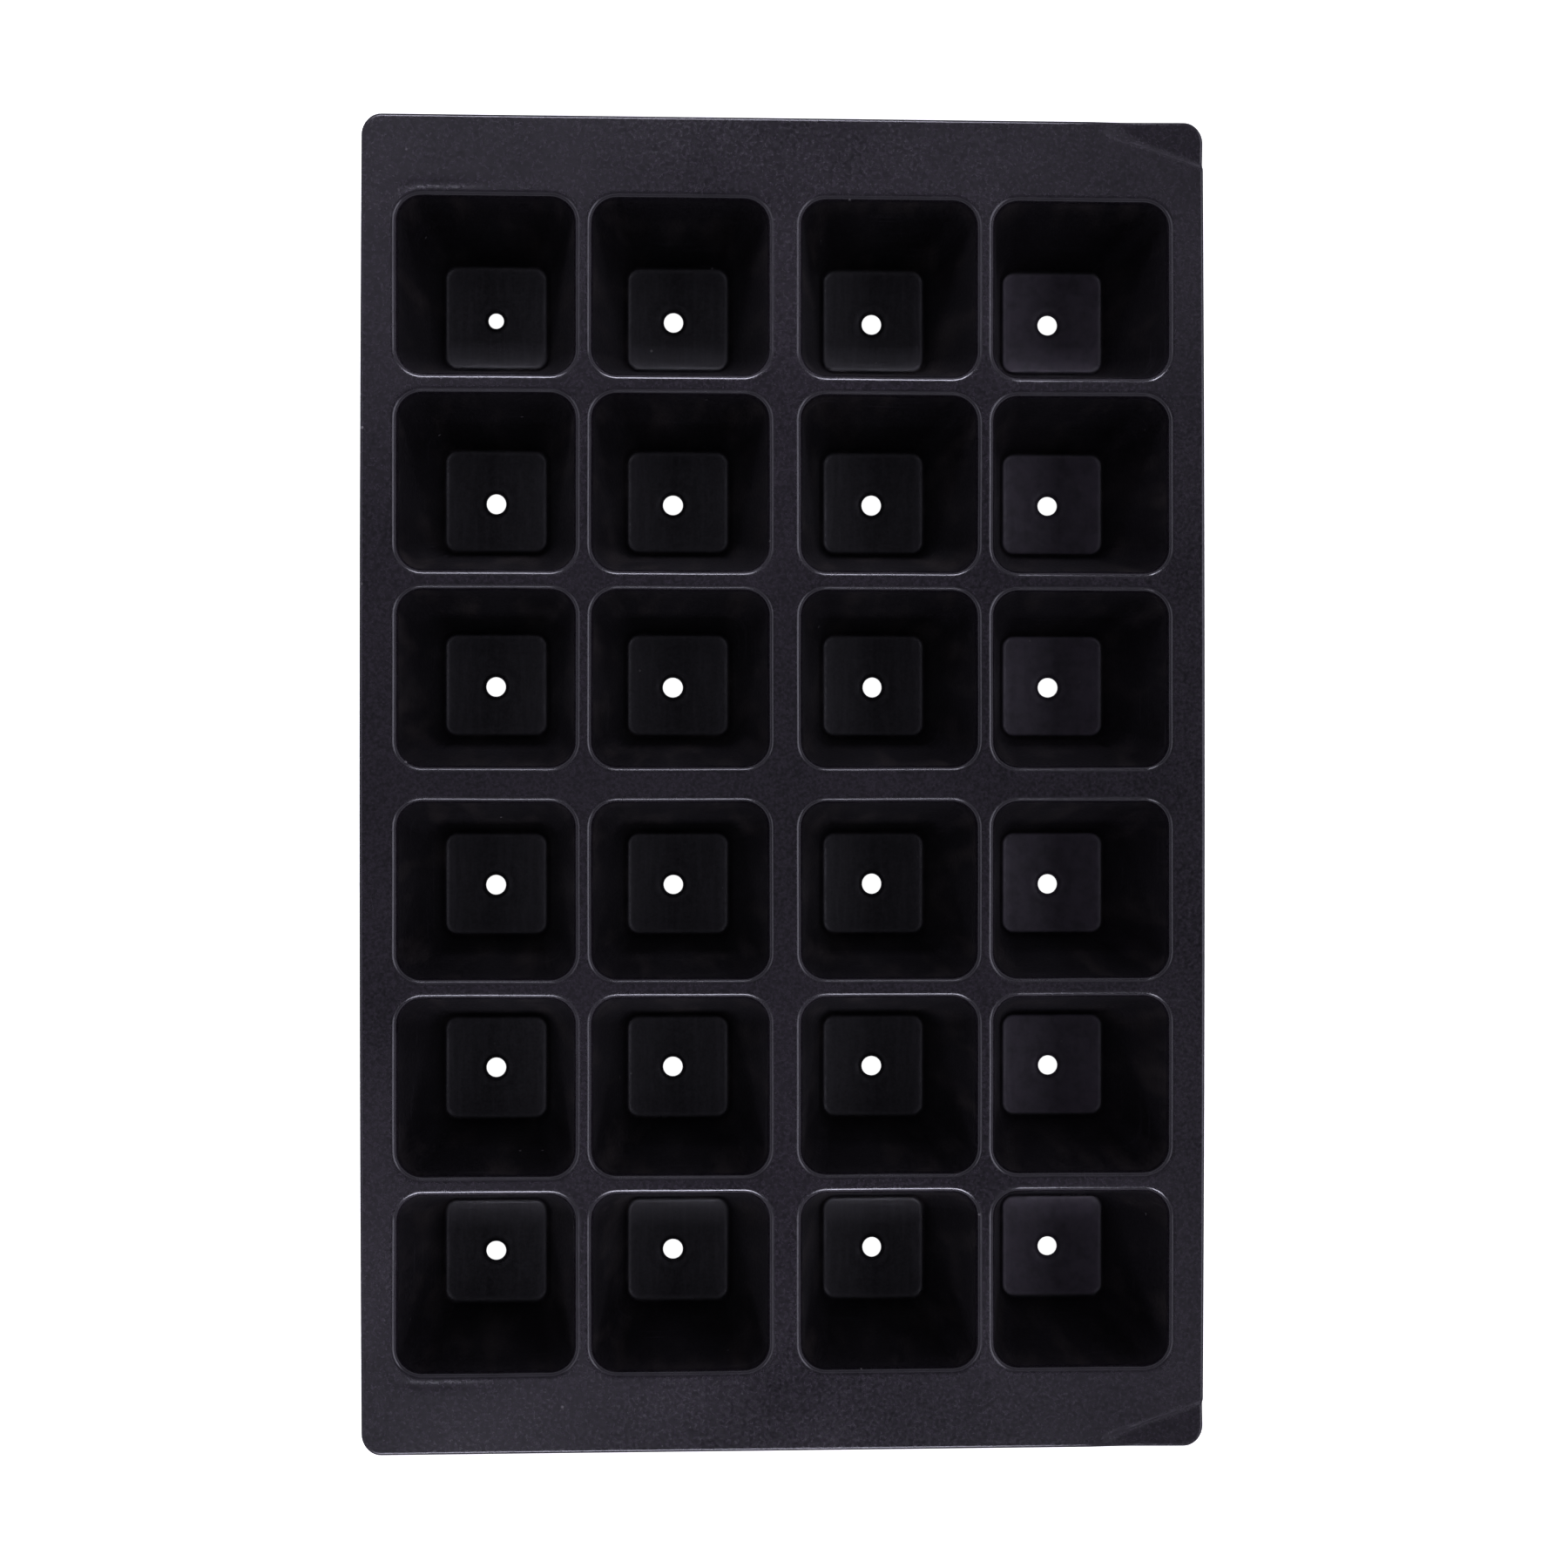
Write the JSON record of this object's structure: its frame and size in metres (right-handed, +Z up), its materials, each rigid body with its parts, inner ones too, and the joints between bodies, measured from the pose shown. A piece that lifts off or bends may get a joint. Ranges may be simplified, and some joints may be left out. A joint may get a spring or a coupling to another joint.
{
  "type": "plug tray",
  "caption": "Soft moulded seedling plug tray: tapered square cells in a grid, each with a drain hole, under a flat rim.",
  "frame": {"origin": "centre of the tray's outline, at the level of the cells' undersides, on which it stands", "axes": "+Z up out of the cells' mouths, +Y along the rows' direction (the long side), +X across the columns"},
  "size_m": [0.232, 0.365, 0.052],
  "materials": {
    "black_rubber": "satin moulded black rubber with a fine pebbled grain and light scuffs"
  },
  "bodies": {
    "root": {"cell_r1_c1": "black_rubber", "cell_r1_c2": "black_rubber", "cell_r1_c3": "black_rubber", "cell_r1_c4": "black_rubber", "cell_r2_c1": "black_rubber", "cell_r2_c2": "black_rubber", "cell_r2_c3": "black_rubber", "cell_r2_c4": "black_rubber", "cell_r3_c1": "black_rubber", "cell_r3_c2": "black_rubber", "cell_r3_c3": "black_rubber", "cell_r3_c4": "black_rubber", "cell_r4_c1": "black_rubber", "cell_r4_c2": "black_rubber", "cell_r4_c3": "black_rubber", "cell_r4_c4": "black_rubber", "cell_r5_c1": "black_rubber", "cell_r5_c2": "black_rubber", "cell_r5_c3": "black_rubber", "cell_r5_c4": "black_rubber", "cell_r6_c1": "black_rubber", "cell_r6_c2": "black_rubber", "cell_r6_c3": "black_rubber", "cell_r6_c4": "black_rubber", "rim_back": "black_rubber", "rim_front": "black_rubber", "rim_left": "black_rubber", "rim_right": "black_rubber", "centre_web_long": "black_rubber", "centre_web_cross_left": "black_rubber", "centre_web_cross_right": "black_rubber"}
  },
  "joints": []
}
